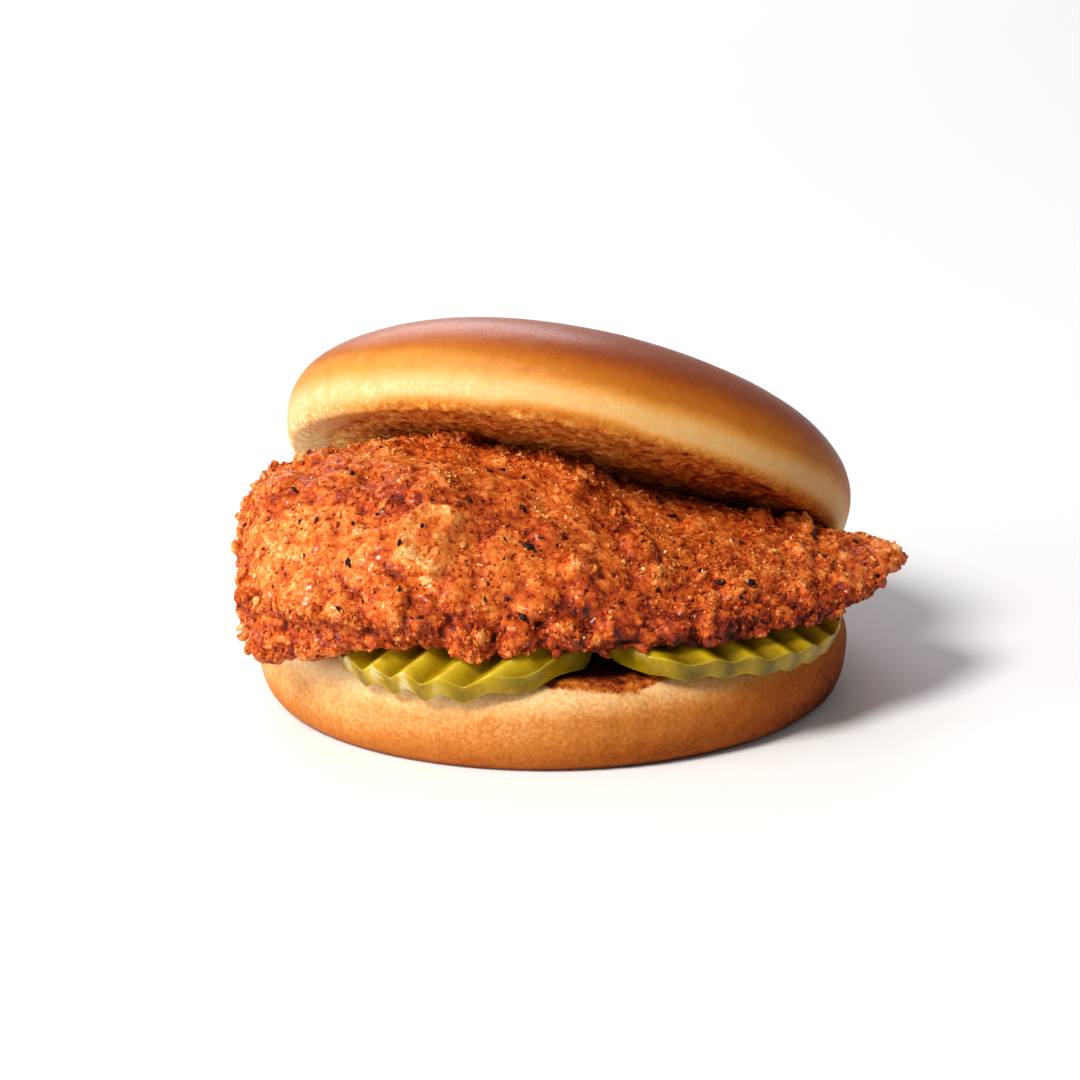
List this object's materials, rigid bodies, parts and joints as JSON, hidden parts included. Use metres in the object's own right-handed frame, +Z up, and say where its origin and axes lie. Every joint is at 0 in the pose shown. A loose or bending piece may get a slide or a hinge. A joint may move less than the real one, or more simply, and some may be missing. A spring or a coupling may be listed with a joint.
{
  "type": "chicken burger",
  "caption": "Open-fronted fried chicken burger: a breaded fillet longer than its round bun on crinkle-cut pickle slices, with the crown leaning back on it",
  "frame": {"origin": "centre of the heel's flat base, on the surface that the burger stands on", "axes": "+X to the right along the fillet, towards its tail; +Y to the back, where the crown leans; +Z up"},
  "size_m": [0.1205, 0.1293, 0.0682],
  "materials": {
    "bun_heel": "soft baked crust, toasted on the cut face",
    "bun_crown": "soft baked crust with a satin sheen, toasted on the cut face",
    "pickle": "wet, translucent",
    "breading": "craggy fried breading with an oily shine"
  },
  "bodies": {
    "root": {"heel": "bun_heel", "pickle_left": "pickle", "pickle_right": "pickle", "chicken_fillet": "breading", "crown": "bun_crown"}
  },
  "joints": []
}
